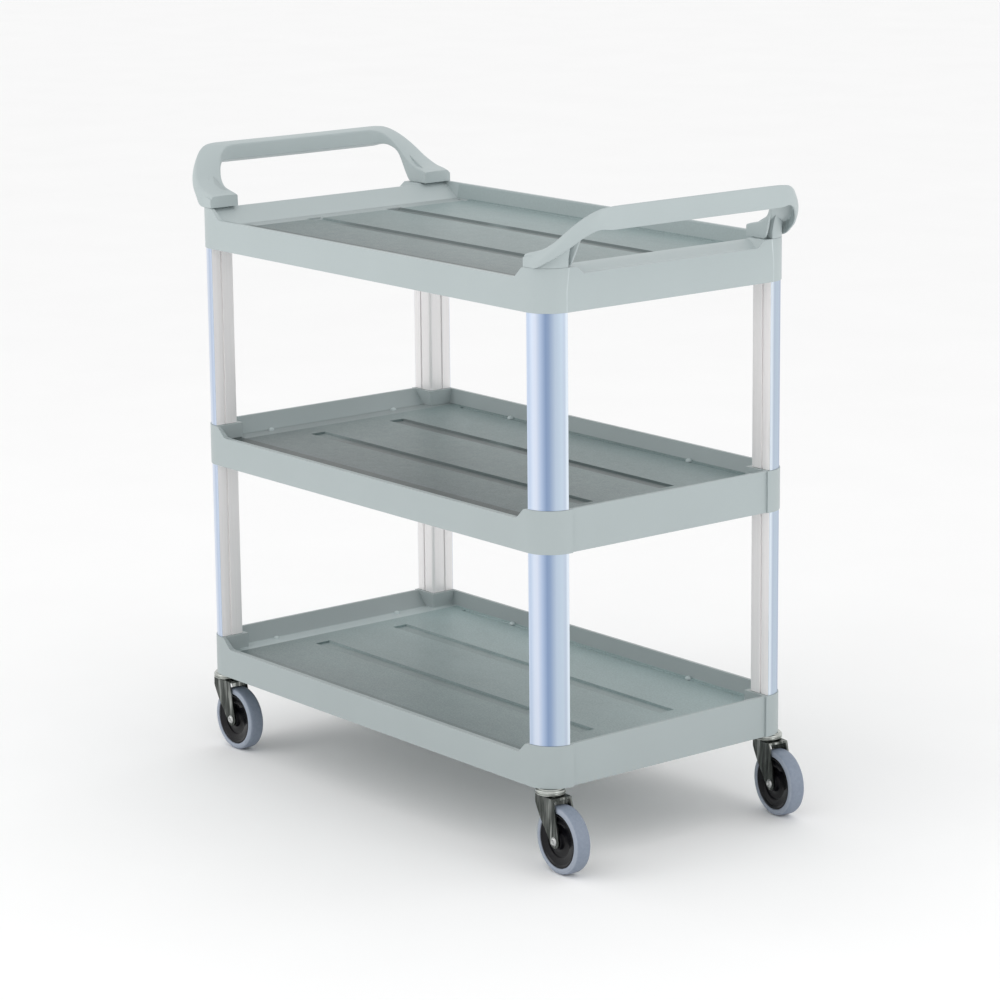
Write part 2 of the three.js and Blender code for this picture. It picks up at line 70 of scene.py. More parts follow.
# ---- Studio floor and light ----
# A pale matt floor that runs out of sight in every direction, under an even white sky. Two soft
# boxes give the round posts and the moulded edges their highlights.
class Wire:
    """A socket of a finish. + - * and / between wires and numbers add Math nodes."""

    def __init__(self, tree, socket):
        self.tree = tree
        self.socket = socket

    def sum(self, operation, first, second):
        return stage(self.tree, "ShaderNodeMath", {"operation": operation}, {0: first, 1: second})

    def __add__(self, other):
        return self.sum("ADD", self, other)

    __radd__ = __add__

    def __sub__(self, other):
        return self.sum("SUBTRACT", self, other)

    def __rsub__(self, other):
        return self.sum("SUBTRACT", other, self)

    def __mul__(self, other):
        return self.sum("MULTIPLY", self, other)

    __rmul__ = __mul__

    def __truediv__(self, other):
        return self.sum("DIVIDE", self, other)

    def __abs__(self):
        return self.sum("ABSOLUTE", self, 0.0)


def stage(tree, kind, settings=None, inputs=None, output=0):
    """One node: its settings first, then the values or wires of its sockets. Returns one output."""
    node = tree.nodes.new(kind)
    for name, value in (settings or {}).items():
        if name == "stops":
            ramp = node.color_ramp
            while len(ramp.elements) < len(value):
                ramp.elements.new(1.0)
            for element, (position, colour) in zip(ramp.elements, value):
                element.position = position
                element.color = (*colour, 1.0)
        else:
            setattr(node, name, value)
    for name, value in (inputs or {}).items():
        if isinstance(value, Wire):
            tree.links.new(value.socket, node.inputs[name])
        elif isinstance(value, tuple) and len(value) == 3 and node.inputs[name].type == "RGBA":
            node.inputs[name].default_value = (*value, 1.0)
        else:
            node.inputs[name].default_value = value
    return Wire(tree, node.outputs[output]) if len(node.outputs) else None


def new_finish(name, **constants):
    """A material with one Principled shader; constants go straight on its sockets."""
    material = bpy.data.materials.new(name)
    material.use_nodes = True
    tree = material.node_tree
    tree.nodes.clear()
    sockets = {key.replace("_", " "): value for key, value in constants.items()}
    shader = stage(tree, "ShaderNodeBsdfPrincipled", None, sockets)
    stage(tree, "ShaderNodeOutputMaterial", None, {"Surface": shader})
    return material, tree, shader.socket.node


def feed(tree, shader, name, wire):
    """Link a wire to one socket of the Principled shader."""
    tree.links.new(wire.socket, shader.inputs[name])


def clamped(wire):
    """The wire kept between 0 and 1."""
    settings = {"operation": "MULTIPLY", "use_clamp": True}
    return stage(wire.tree, "ShaderNodeMath", settings, {0: wire, 1: 1.0})


def between(wire, low, high, soft):
    """1 where the wire lies between low and high, falling to 0 over soft on both sides."""
    return clamped((wire - low) / soft + 0.5) * clamped((high - wire) / soft + 0.5)


def place(tree):
    """Object position as a vector and as its three lengths in metres."""
    point = stage(tree, "ShaderNodeTexCoord", output="Object")
    lengths = [stage(tree, "ShaderNodeSeparateXYZ", None, {0: point}, axis) for axis in range(3)]
    return [point] + lengths


def noise(tree, point, scale, detail=2.0, roughness=0.5, stretch=(1.0, 1.0, 1.0)):
    """Cloudy noise, scale lumps to the metre, drawn out where stretch is below 1."""
    moved = stage(tree, "ShaderNodeMapping", None, {"Vector": point, "Scale": stretch})
    sockets = {"Vector": moved, "Scale": scale, "Detail": detail, "Roughness": roughness}
    return stage(tree, "ShaderNodeTexNoise", None, sockets)


def blended(tree, amount, first, second):
    """Colour first where amount is 0, second where it is 1."""
    sockets = {0: amount, 6: first, 7: second}
    return stage(tree, "ShaderNodeMix", {"data_type": "RGBA"}, sockets, 2)


def bump(tree, height, depth, strength=1.0, under=None):
    """Normal of a surface raised by height times depth, in metres."""
    sockets = {"Height": height, "Distance": depth, "Strength": strength}
    if under is not None:
        sockets["Normal"] = under
    return stage(tree, "ShaderNodeBump", None, sockets)


floor_half = 30.0
floor_corners = [(x * floor_half, y * floor_half, 0) for x, y in ((-1, -1), (1, -1), (1, 1), (-1, 1))]
floor_mesh = bpy.data.meshes.new("studio_floor")
floor_mesh.from_pydata(floor_corners, [], [(0, 1, 2, 3)])
studio_floor = bpy.data.objects.new("studio_floor", floor_mesh)
bpy.context.scene.collection.objects.link(studio_floor)
floor_finish, tree, shader = new_finish("pale_floor", Roughness=0.9, Specular_IOR_Level=0.1)
cloud = noise(tree, place(tree)[0], 3.0)
feed(tree, shader, "Base Color", blended(tree, cloud, (0.92, 0.92, 0.92), (0.95, 0.95, 0.95)))
floor_mesh.materials.append(floor_finish)

sky = bpy.data.worlds.new("white_sky")
sky.use_nodes = True
sky.node_tree.nodes["Background"].inputs["Color"].default_value = (1.0, 1.0, 1.0, 1.0)
sky.node_tree.nodes["Background"].inputs["Strength"].default_value = 1.01
bpy.context.scene.world = sky


def soft_box(name, direction, distance, size, power, colour):
    """A square soft box at a distance along a direction from the trolley, facing it."""
    lamp = bpy.data.lights.new(name, "AREA")
    lamp.size = size
    lamp.energy = power
    lamp.color = colour
    holder = bpy.data.objects.new(name, lamp)
    away = Vector(direction).normalized()
    holder.matrix_world = Matrix.Translation(Vector((0, 0, 0.5)) + away * distance) @ \
        away.to_track_quat("Z", "Y").to_matrix().to_4x4()
    bpy.context.scene.collection.objects.link(holder)


soft_box("soft_box_left", (-0.35, -1.0, 0.35), 3.2, 1.6, 14.0, (1.0, 0.995, 0.98))
soft_box("soft_box_right", (1.0, 0.15, 0.30), 3.4, 1.2, 13.0, (1.0, 1.0, 1.0))


# ---- Shelves ----
# Three injection-moulded polypropylene trays with deep rims, solid corner blocks and a ribbed
# underside. The floor has three grained panels between smooth borders, and two long grooves.
def loose_copy(node):
    """Corner points and triangles of one solid of the frame."""
    source = frame["nodes"][node].data
    points = np.empty(len(source.vertices) * 3, np.float32)
    source.vertices.foreach_get("co", points)
    source.calc_loop_triangles()
    corners = np.empty(len(source.loop_triangles) * 3, np.int32)
    source.loop_triangles.foreach_get("vertices", corners)
    return points.reshape(-1, 3), corners.reshape(-1, 3)


def add_object(name, mesh, sharp, finish, body):
    """An object at the origin, smooth except where faces turn by more than sharp degrees."""
    mesh.polygons.foreach_set("use_smooth", np.ones(len(mesh.polygons), bool))
    mesh.set_sharp_from_angle(angle=radians(sharp))
    mesh.materials.append(finish)
    piece = bpy.data.objects.new(name, mesh)
    bpy.context.scene.collection.objects.link(piece)
    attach(piece, body)
    return piece


def softened_copy(name, node, edge, finish, body, angle=24.0):
    """A solid of the frame with its triangles merged to flat faces and its edges rounded by edge."""
    points, corners = loose_copy(node)
    mesh = bpy.data.meshes.new(name)
    mesh.from_pydata(points, [], corners)
    work = bmesh.new()
    work.from_mesh(mesh)
    bmesh.ops.remove_doubles(work, verts=work.verts, dist=2e-6)
    bmesh.ops.dissolve_limit(work, angle_limit=radians(0.6), verts=work.verts, edges=work.edges)
    work.to_mesh(mesh)
    work.free()
    piece = add_object(name, mesh, angle, finish, body)
    rounding = piece.modifiers.new("rounding", "BEVEL")
    rounding.width = edge
    rounding.segments = 3
    rounding.limit_method = "ANGLE"
    rounding.angle_limit = radians(angle)
    rounding.harden_normals = True
    rounding.use_clamp_overlap = True
    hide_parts(node)


def plastic_finish(name, painted_light_tone=1.0, tray=None):
    """Moulded grey-green plastic with a fine grain, its colour scaled by a tone that paints light or
    shade on the piece. With a tray, its floor has three grained panels with painted shade that darkens
    them towards -Y, a plain border at each end, grooves darkened with painted shade, and a painted
    shadow band behind the cut-down lip. A fine painted highlight line marks where each corner arc meets
    the end face, in the strength given by wall, which also carries the panel colour onto the foot of the
    side walls."""
    material, tree, shader = new_finish(name, IOR=1.48, Specular_IOR_Level=0.38)
    point, x, y, z = place(tree)
    cloud = noise(tree, point, 9.0, 3.0)
    grain = noise(tree, point, 900.0, 2.0, 0.6)
    # The tone paints light or shade into the whole colour: darker on the lower shelves, lighter on the
    # studs.
    tint = np.array([0.430, 0.488, 0.494]) * painted_light_tone
    colour = blended(tree, cloud, tuple(tint * 0.965), tuple(tint * 1.035))
    rough = 0.36 + 0.10 * noise(tree, point, 60.0)
    surface = bump(tree, grain, 0.00010, 0.6)
    if tray is not None:
        floor, half_length = tray["floor"], tray["half_length"]
        contrast, wall = tray["contrast"], tray["wall"]
        half_width, wall_foot, wall_top = 0.2315, 0.2255, 0.0220
        groove_line, groove_half_width, groove_end = 0.078, 0.0142, 0.3296
        lip_foot, end_border = -0.2262, 0.030
        within_ends = between(abs(x), -1.0, half_length + 0.0005, 0.001)
        inside = between(abs(y), -1.0, half_width, 0.0006) * within_ends
        on_floor = inside * between(z, floor - 0.0050, floor + 0.0012, 0.0008)
        on_wall = between(abs(y), wall_foot, 1.0, 0.001) * between(z, floor, floor + wall_top, 0.001)
        # Panel colour; its tone is set per level as painted light and shade.
        depth = np.array([0.236, 0.304, 0.306]) * tray["painted_light_tone"]
        border = tuple(tint * (0.60 + 0.22 / contrast * tray["painted_light_tone"]))
        colour = blended(tree, on_floor, colour, border)

        speck = clamped(noise(tree, point, 330.0, 3.0, 0.7) * 3.2 - 1.1)
        drift = noise(tree, point, 6.0, 2.0, 0.5, (1.0, 2.0, 1.0))
        grained = speck * 0.55 + drift * 0.45
        # Painted shade: the panels run from darker on the -Y half to lighter on the +Y half.
        shaded_near_half = blended(tree, grained, tuple(depth * 0.44), tuple(depth * 0.86))
        lit_far_half = blended(tree, grained, tuple(depth * 1.00), tuple(depth * 1.62))
        grain_and_painted_shade = blended(tree, clamped(y * 2.6 + 0.52), shaded_near_half, lit_far_half)
        between_borders = between(abs(x), -1.0, half_length - end_border, 0.003)
        covered = clamped(on_floor * between_borders + inside * on_wall * wall)
        colour = blended(tree, covered, colour, grain_and_painted_shade)

        # Painted shade: the grooves are coloured dark, in broken lengths, and the grain bump is left out
        # of them.
        line = between(abs(abs(y) - groove_line), -1.0, groove_half_width, 0.0012)
        broken = clamped(noise(tree, point, 4.2, 1.0, 0.5, (1.0, 2.0, 0.0)) * 14.0 - 5.0)
        painted_groove_shade = line * on_floor * between(abs(x), -1.0, groove_end, 0.0012) * broken
        colour = blended(tree, painted_groove_shade * contrast, colour, tuple(depth * 0.46))

        # Painted shadow: a dark band on the floor just behind the cut-down lip on the -Y side.
        band_ends = between(abs(x), -1.0, half_length - 0.012, 0.02)
        painted_lip_shadow = between(y, lip_foot, tray["band_edge"], 0.0010) * on_floor * band_ends
        colour = blended(tree, painted_lip_shadow * contrast, colour, tuple(depth * 0.26))
        rough = rough - 0.07 * on_floor + 0.04 * on_floor * between_borders
        surface = bump(tree, speck * on_floor * (1.0 - painted_groove_shade), 0.0003, 0.35, surface)

        # Painted highlight: a fine light line on each end face where the corner arc meets it, faded in
        # patches, drawn only where wall is above 0.
        arc_end, end_face, block_top = 0.1915, 0.4288, 0.873
        line_y = arc_end + 0.0040 * clamped((block_top - z) * 30.0)
        on_end_face = between(abs(x), end_face, 1.0, 0.0005)
        painted_highlight_line = between(abs(y) - line_y, -0.0009, 0.0009, 0.0005) * on_end_face
        faded = clamped(noise(tree, point, 30.0) * 2.0 - 0.4)
        colour = blended(tree, painted_highlight_line * faded * wall * 1.6, colour, (0.66, 0.72, 0.74))
    feed(tree, shader, "Base Color", colour)
    feed(tree, shader, "Roughness", rough)
    feed(tree, shader, "Normal", surface)
    return material


# Per level: the moulding's tone, painted darker on the lower shelves as shade, and the tray's floor
# height, half length, panel tone (painted light and shade), contrast, wall and the edge of the painted
# lip shadow.
shelf_trays = {
    "shelf_bottom": (0.84, {"floor": 0.161, "half_length": 0.4005, "painted_light_tone": 1.06, "contrast": 0.30,
                            "wall": 0.0, "band_edge": -0.2040}),
    "shelf_middle": (0.91, {"floor": 0.505, "half_length": 0.4005, "painted_light_tone": 0.76, "contrast": 0.85,
                            "wall": 0.0, "band_edge": -0.1900}),
    "shelf_top": (0.98, {"floor": 0.849, "half_length": 0.3525, "painted_light_tone": 0.80, "contrast": 0.85,
                         "wall": 0.4, "band_edge": -0.1925}),
}
for shelf, (painted_light_tone, tray) in shelf_trays.items():
    shelf_finish = plastic_finish(shelf + "_plastic", painted_light_tone, tray)
    softened_copy(shelf + "_moulding", shelf, 0.0014, shelf_finish, "frame")


# ---- Floor studs ----
# Low round studs of the shelf plastic, 10 mm across, moulded on the two lower shelves, coloured lighter
# than the shelves as a painted highlight on their domes. Four lie where the floor meets the end walls
# and two along the wall on the +Y side.
def joined(name, shells):
    """One mesh of several grids of points. Each shell is (points, closed round, closed along)."""
    points, faces, start = [], [], 0
    for grid, ring, loop in shells:
        rows, columns = grid.shape[:2]
        index = np.arange(rows * columns).reshape(rows, columns)
        if ring:
            index = np.concatenate([index, index[:, :1]], 1)
        if loop:
            index = np.concatenate([index, index[:1]], 0)
        quads = np.stack([index[:-1, :-1], index[1:, :-1], index[1:, 1:], index[:-1, 1:]], -1)
        points.append(grid.reshape(-1, 3))
        faces.append(quads.reshape(-1, 4) + start)
        if ring and not loop:
            caps = np.stack([index[0, :-1][::-1], index[-1, :-1]])
            flat = [np.ptp(grid[row].reshape(-1, 3), 0).max() > 1e-6 for row in (0, -1)]
            faces.append([list(cap + start) for cap, wide in zip(caps, flat) if wide])
        start += rows * columns
    mesh = bpy.data.meshes.new(name)
    mesh.from_pydata(np.concatenate(points), [], [list(face) for group in faces for face in group])
    work = bmesh.new()
    work.from_mesh(mesh)
    bmesh.ops.remove_doubles(work, verts=work.verts, dist=1e-7)
    bmesh.ops.recalc_face_normals(work, faces=work.faces)
    work.to_mesh(mesh)
    work.free()
    return mesh


def turned(profile, centre, axis, sides=64):
    """Rings of points: each profile row (radius, distance along the axis) turned about the axis."""
    profile = np.asarray(profile, float) * 0.001
    axis = Vector(axis).normalized()
    side = axis.orthogonal().normalized()
    basis = np.array([side, axis.cross(side), axis])
    angle = np.linspace(0.0, 2.0 * np.pi, sides, endpoint=False)
    radius = profile[:, :1]
    along = np.repeat(profile[:, 1:], sides, 1)
    local = np.stack([radius * np.cos(angle), radius * np.sin(angle), along], -1)
    return local @ basis + np.asarray(centre, float)


stud_radius, stud_height = 5.0, 4.0
# Painted highlight: the studs are the shelf plastic at a tone of 1.25, lighter than any shelf.
stud_painted_highlight_finish = plastic_finish("stud_plastic_painted_highlight", 1.25)
stud_rise = np.linspace(0.0, 0.5 * np.pi, 7)
stud_profile = np.stack([stud_radius * np.cos(stud_rise), stud_height * np.sin(stud_rise)], -1)
stud_profile = np.concatenate([[[stud_radius, -1.0]], stud_profile])
for shelf, floor_level in (("bottom", 0.161), ("middle", 0.505)):
    spots = [(end * 0.3965, side * 0.122) for end in (-1, 1) for side in (-1, 1)]
    spots += [(end * 0.216, 0.2225) for end in (-1, 1)]
    shells = [(turned(stud_profile, (x, y, floor_level), (0, 0, 1), 20), True, False) for x, y in spots]
    add_object("floor_studs_" + shelf, joined("floor_studs_" + shelf, shells), 60.0,
               stud_painted_highlight_finish, "frame")


# ---- Handles ----
# One moulding at each end: a bow that rises from two feet on the corner blocks, bends in to a
# straight bar and is hollow from below. A screw through the block holds each foot.
def soft_steps(value, start, end):
    """0 before start, 1 after end, and a smooth rise between them."""
    t = np.clip((value - start) / (end - start), 0.0, 1.0)
    return t * t * (3.0 - 2.0 * t)


def rounded(corners, radius, steps=4):
    """Closed rows of corner points with each corner cut back by its radius and bridged by a
    parabola: (1 - t)^2 a + 2 t (1 - t) corner + t^2 b."""
    before = np.roll(corners, 1, 1) - corners
    after = np.roll(corners, -1, 1) - corners
    long_before = np.linalg.norm(before, axis=2, keepdims=True)
    long_after = np.linalg.norm(after, axis=2, keepdims=True)
    radius = np.asarray(radius, float)[None, :, None]
    a = corners + before * np.minimum(radius / np.maximum(long_before, 1e-9), 0.49)
    b = corners + after * np.minimum(radius / np.maximum(long_after, 1e-9), 0.49)
    t = np.linspace(0.0, 1.0, steps + 1)[None, None, :, None]
    first, second, third = a[:, :, None], corners[:, :, None], b[:, :, None]
    curve = (1 - t) ** 2 * first + 2 * t * (1 - t) * second + t ** 2 * third
    return curve.reshape(len(corners), -1, 3)


def smoothed(row, passes=3):
    """A row of heights with each taken as the mean of itself and its two neighbours."""
    for _ in range(passes):
        row = np.concatenate([row[:1], (row[:-2] + row[1:-1] + row[2:]) / 3.0, row[-1:]])
    return row


bend_top = ([0, 15, 26, 37, 47, 58, 69, 82, 90], [87.6, 85.8, 80.5, 72.6, 63, 50.8, 38.2, 28.8, 25.3])
outer_edge = ([0, 15, 26, 37, 47, 58, 69, 82, 90], [54.5, 57, 52.1, 44.2, 34.5, 24.5, 15.3, 6.1, 0])
inner_edge = ([0, 27, 38, 49, 56, 60, 63, 67, 72, 77, 90],
              [60.5, 61, 58.4, 52.8, 46, 38, 30, 20, 10, 0, 0])
end_x, side_y, seat = 430.5, 236.0, 873.3


def handle_grid(end):
    """A section carried along the bow: back along the arm, round the bend and along the bar.
    The outer and inner lines are arcs of 76 and 52; heights follow the angle of the bend."""
    arm = np.linspace(1.0, 0.0, 10)[:-1]
    bend = np.linspace(90.0, 0.0, 46)
    bar = np.linspace(1.0, 0.0, 14)[1:]
    k = np.concatenate([arm, np.zeros(len(bend) + len(bar))])
    angle = np.concatenate([np.full(len(arm), 90.0), bend, np.zeros(len(bar))])
    run = np.concatenate([np.ones(len(arm) + len(bend)), bar])
    turn = np.radians(angle)
    outer = np.stack([-20.5 + 76 * np.cos(turn) - 27 * k, (160 + 76 * np.sin(turn)) * run], -1)
    inner = np.stack([-17.5 + 52 * np.cos(turn) - 30 * k, (132 + 52 * np.sin(turn)) * run], -1)
    top = np.interp(angle, *bend_top)
    top = np.where(k > 0, np.interp(k, [0, 0.42, 0.90, 1.0], [25.3, 21.9, 19.2, 17.6]), top)
    top = smoothed(top)
    low_out = smoothed(np.interp(angle, *outer_edge))
    low_in = smoothed(np.interp(angle, *inner_edge))
    in_bend = soft_steps(angle, 8.0, 45.0)
    hollow = soft_steps(angle, 14.0, 34.0) * (1.0 - soft_steps(k, 0.5, 0.8))
    top_in = top - 3.6 * (1.0 - in_bend)
    crown = 2.5 + 4.0 * in_bend * (1.0 - 0.7 * soft_steps(k, 0.0, 0.6))
    tuck = (1.5 + 3.0 * in_bend) * (1.0 - soft_steps(angle, 70.0, 88.0) * 0.9)
    wide = np.linalg.norm(inner - outer, axis=1)
    roof_out = low_out + 0.2 + hollow * np.maximum(top - 7.0 - low_out, 0.0)
    roof_in = low_in + 0.2 + hollow * np.maximum(top - 7.0 - low_in, 0.0)
    tall = top - low_out
    rows = [
        (tuck, low_out, 0.9), (0.0 * wide, low_out + 0.45 * tall, 14.0), (crown, top, 3.5),
        (0.5 * wide, 0.5 * (top + top_in) + 0.6, 9.0), (wide - 0.5, top_in, 2.6),
        (wide, low_in, 1.2), (wide - 3.2, low_in + 0.1, 1.0), (wide - 4.0, roof_in, 2.5),
        (tuck + 4.2, roof_out, 2.5), (tuck + 3.2, low_out + 0.1, 1.0),
    ]
    share = np.stack([row[0] / wide for row in rows], 1)[..., None]
    flat = outer[:, None] * (1 - share) + inner[:, None] * share
    height = np.stack([row[1] for row in rows], 1)[..., None]
    corners = np.concatenate([flat, height], -1)
    half = rounded(corners, [row[2] for row in rows])
    other = half[:-1][::-1] * np.array([1.0, -1.0, 1.0])
    whole = np.concatenate([half, other])
    whole = whole * np.array([end, end, 1.0]) + np.array([end * end_x, 0.0, seat])
    return whole * 0.001


def foot_grid(end, side):
    """The outline of one foot, square with a quarter round of 43.3, carried up under the bow. Above
    22 it narrows to 0.55 of its width, and its front leans out by up to 12 to meet the bend."""
    arc = np.radians(np.linspace(0.0, 90.0, 25))
    outline = np.stack([-43.5 + 43.3 * np.cos(arc), 192.5 + 43.3 * np.sin(arc)], -1)
    outline = np.concatenate([[[-47.4, 192.8], [-1.5, 192.8], [-0.4, 193.6]], outline, [[-47.4, 235.8]]])
    top = np.interp(outline[:, 0], [-48, -20, -6, 0], [13.5, 20, 34, 46])
    share = np.array([0.0, 0.0, 0.02, 0.25, 0.5, 0.75, 0.98, 1.0, 1.0])
    width = np.array([0.02, 0.985, 1.0, 1.0, 1.0, 1.0, 1.0, 0.97, 0.02])
    height = share[:, None] * top
    middle = outline.mean(0)
    flat = middle + (outline - middle) * width[:, None, None]
    lean = np.interp(height, [0, 12, 30, 46], [0, 0, 4, 12]) * np.clip((flat[..., 0] + 25) / 25, 0, 1)
    narrow = np.interp(height, [0, 22, 46], [1.0, 1.0, 0.55])
    across = 192.8 + (flat[..., 1] - 192.8) * narrow
    height[-1] = np.interp(middle[0], [-48, -20, -6, 0], [13.5, 20, 34, 46])
    grid = np.stack([flat[..., 0] + lean, across, height], -1)
    grid = grid * np.array([end, side, 1.0]) + np.array([end * end_x, 0.0, seat])
    return grid * 0.001


handle_finish = plastic_finish("handle_plastic", 0.99)
for name, end in (("handle_front", 1.0), ("handle_rear", -1.0)):
    shells = [(handle_grid(end), True, False), (foot_grid(end, 1.0), True, False),
              (foot_grid(end, -1.0), True, False)]
    piece = add_object(name + "_moulding", joined(name, shells), 50.0, handle_finish,
                       "frame")
    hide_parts(name)


# ---- Uprights ----
# Eight lengths of extruded aluminium, a quarter round with two grooved flats, satin anodised and
# cut square. Each is pushed over the plugs of the shelf below and the shelf above.
def upright_grid(node, end, side):
    """The quarter-round outline and the same outline drawn in by the walls, carried straight up."""
    low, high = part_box(node)
    centre = np.array([end * 387.0, side * 192.5])
    radius, inner_radius, flat_wall = 42, 39.5, 4.6
    curve = np.radians(np.linspace(1.5, 88.5, 40))
    nose = np.radians(np.linspace(180, 270, 9))
    lip = np.array([[22.2, 0], [22.5, 0.3], [22.6, 2.2], [25.3, 2.2], [25.4, 0.3], [25.7, 0]])
    outline = np.concatenate([
        5 + 5 * np.stack([np.cos(nose), np.sin(nose)], -1), lip, [[40.6, 0], [41.5, 0.4]],
        radius * np.stack([np.cos(curve), np.sin(curve)], -1),
        [[0.4, 41.5], [0, 40.6]], lip[::-1, ::-1]])
    within = np.maximum(outline, flat_wall)
    reach = np.linalg.norm(within, axis=1, keepdims=True)
    within = np.where(reach > inner_radius, within * inner_radius / np.maximum(reach, 1e-9), within)
    within = np.maximum(within, flat_wall)
    flip = np.array([end, side])
    z0, z1 = low.z * 1000, high.z * 1000
    rows = [(within, z0), (outline, z0), (outline, z1), (within, z1)]
    grid = np.stack([np.concatenate([flat * flip + centre, np.full((len(flat), 1), level)], 1)
                     for flat, level in rows])
    return grid * 0.001


post_finish, tree, shader = new_finish("satin_aluminium_painted_sheen")
point, x, y, z = place(tree)
streak = noise(tree, point, 700.0, 3.0, 0.6, (1.0, 1.0, 0.01))
post_radius, post_x, post_y = 0.042, 0.387, 0.1925
out_x, out_y = abs(x) - post_x, abs(y) - post_y
turn = clamped((out_x - out_y) / (2 * post_radius) + 0.5)
# Painted reflection: light and dark blue-grey bands round the curved face, set by the angle round each
# post.
painted_sheen = stage(tree, "ShaderNodeValToRGB", {"stops": [
    (0.00, (0.58, 0.66, 0.80)), (0.07, (0.50, 0.59, 0.74)), (0.16, (0.64, 0.71, 0.83)),
    (0.24, (0.66, 0.72, 0.84)), (0.36, (0.44, 0.54, 0.72)), (0.48, (0.25, 0.34, 0.52)),
    (0.55, (0.28, 0.37, 0.54)), (0.70, (0.48, 0.57, 0.69)), (0.84, (0.50, 0.59, 0.69)),
    (0.91, (0.48, 0.55, 0.66)), (0.96, (0.70, 0.78, 0.86)), (1.00, (0.74, 0.80, 0.88))]}, {0: turn})
round_side = clamped((out_x * out_x + out_y * out_y - 0.001640) / 0.00004)
flat_side = blended(tree, streak, (0.84, 0.82, 0.82), (0.96, 0.94, 0.94))
# The flats keep their own light colour; the round face takes the painted sheen.
flats_and_painted_sheen = blended(tree, round_side, flat_side, painted_sheen)
feed(tree, shader, "Base Color", flats_and_painted_sheen)
feed(tree, shader, "Metallic", 0.25 + 0.75 * round_side)
feed(tree, shader, "Roughness", 0.26 + 0.12 * streak + 0.05 * noise(tree, point, 14.0))
feed(tree, shader, "Normal", bump(tree, streak, 0.00004, 0.5))
corners = {"front_right": (1, -1), "front_left": (1, 1), "rear_right": (-1, -1), "rear_left": (-1, 1)}
for corner, (end, side) in corners.items():
    for level_name in ("lower", "upper"):
        node = "upright_" + level_name + "_" + corner
        mesh = joined(node, [(upright_grid(node, end, side), True, True)])
        piece = add_object(node + "_tube", mesh, 28.0, post_finish, "frame")
        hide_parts(node)


# ---- Handle screws, caster stems and wheel bushes ----
# Plain zinc-plated steel, out of sight inside the corner blocks. The bushes that the wheels turn
# on are steel tube of the same finish, on the axle bolts.
def steel_finish(name, light, dark, rough):
    """Plated steel with faint cloudy variation and fine turning marks."""
    material, tree, shader = new_finish(name, Metallic=1.0)
    point = place(tree)[0]
    cloud = noise(tree, point, 120.0, 4.0, 0.6)
    fine = noise(tree, point, 1500.0, 2.0)
    feed(tree, shader, "Base Color", blended(tree, cloud, dark, light))
    feed(tree, shader, "Roughness", rough + 0.14 * fine)
    feed(tree, shader, "Normal", bump(tree, fine, 0.00005, 0.5))
    return material


bright_steel = steel_finish("bright_steel", (0.62, 0.63, 0.62), (0.40, 0.41, 0.41), 0.20)
for corner in corners:
    for node in ("handle_screw_" + corner, "caster_stem_" + corner, "wheel_bush_" + corner):
        frame["nodes"][node].data.materials.clear()
        frame["nodes"][node].data.materials.append(bright_steel)


# ---- Swivel races ----
# Two pressed steel cups with a row of balls between them, zinc plated, at the top of each caster.
zinc_finish = steel_finish("zinc_plate", (0.62, 0.64, 0.61), (0.30, 0.32, 0.30), 0.24)
joints = {joint["name"]: joint for joint in frame["joints"]}
race_profile = [(6.3, 112.5), (20.8, 112.5), (21.6, 112.8), (22.0, 113.6), (21.9, 114.4), (20.4, 114.9),
                (20.2, 115.4), (20.4, 115.9), (21.8, 116.2), (22.0, 117.2), (22.0, 118.4), (21.5, 119.4),
                (20.4, 120.0), (19.4, 120.2), (19.2, 121.7), (6.3, 121.7)]
for corner in corners:
    x, y = joints["swivel_" + corner]["pos_m"][:2]
    node = "caster_race_" + corner
    grid = turned(race_profile, (x, y, 0.0), (0, 0, 1))
    piece = add_object(node + "_cups", joined(node, [(grid, True, True)]), 40.0, zinc_finish,
                       "frame")
    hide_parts(node)


# ---- Caster forks ----
# Pressed from 2.5 mm steel sheet and bent round the heel, then zinc plated. The edges are
# rounded by the press.
fork_finish, tree, shader = new_finish("fork_zinc", Metallic=1.0)
point = place(tree)[0]
# Painted reflection: the ramp below turns this noise into dark zinc with light streaks drawn out up the
# legs; the same noise also sets the roughness and fine bump.
drawn_marks_and_reflections = noise(tree, point, 130.0, 2.0, 0.55, (1.0, 1.0, 0.12))
painted_reflection_streaks = stage(tree, "ShaderNodeValToRGB", {"stops": [
    (0.34, (0.040, 0.045, 0.041)), (0.48, (0.075, 0.082, 0.076)),
    (0.58, (0.16, 0.17, 0.16)), (0.70, (0.42, 0.44, 0.42))]}, {0: drawn_marks_and_reflections})
feed(tree, shader, "Base Color", painted_reflection_streaks)
feed(tree, shader, "Roughness", 0.20 + 0.16 * drawn_marks_and_reflections)
feed(tree, shader, "Normal", bump(tree, drawn_marks_and_reflections, 0.00008, 0.5))
for corner in corners:
    node = "caster_fork_" + corner
    softened_copy(node + "_pressing", node, 0.0007, fork_finish, "caster_" + corner)


# ---- Wheels ----
# A glossy black hub with a stepped web and a grey rubber tyre moulded round it. It turns on a
# steel bush between the fork legs.
hub_half = [(6.8, 13.6), (7.4, 14.0), (11.4, 14.0), (12.0, 13.5), (12.7, 10.2), (13.6, 8.2), (15.0, 7.6),
            (24.0, 6.9), (25.0, 7.2), (25.6, 9.0), (26.6, 9.6), (35.0, 10.2), (36.4, 10.7), (37.4, 11.5),
            (39.4, 11.9), (40.2, 11.6)]
tyre_half = [(40.5, 11.4), (40.9, 12.4), (41.8, 12.9), (44.6, 13.0), (45.4, 12.8), (46.2, 12.3),
             (47.6, 11.9), (48.6, 11.0), (49.4, 9.4), (49.85, 7.0), (50.0, 4.5), (50.0, 1.5)]


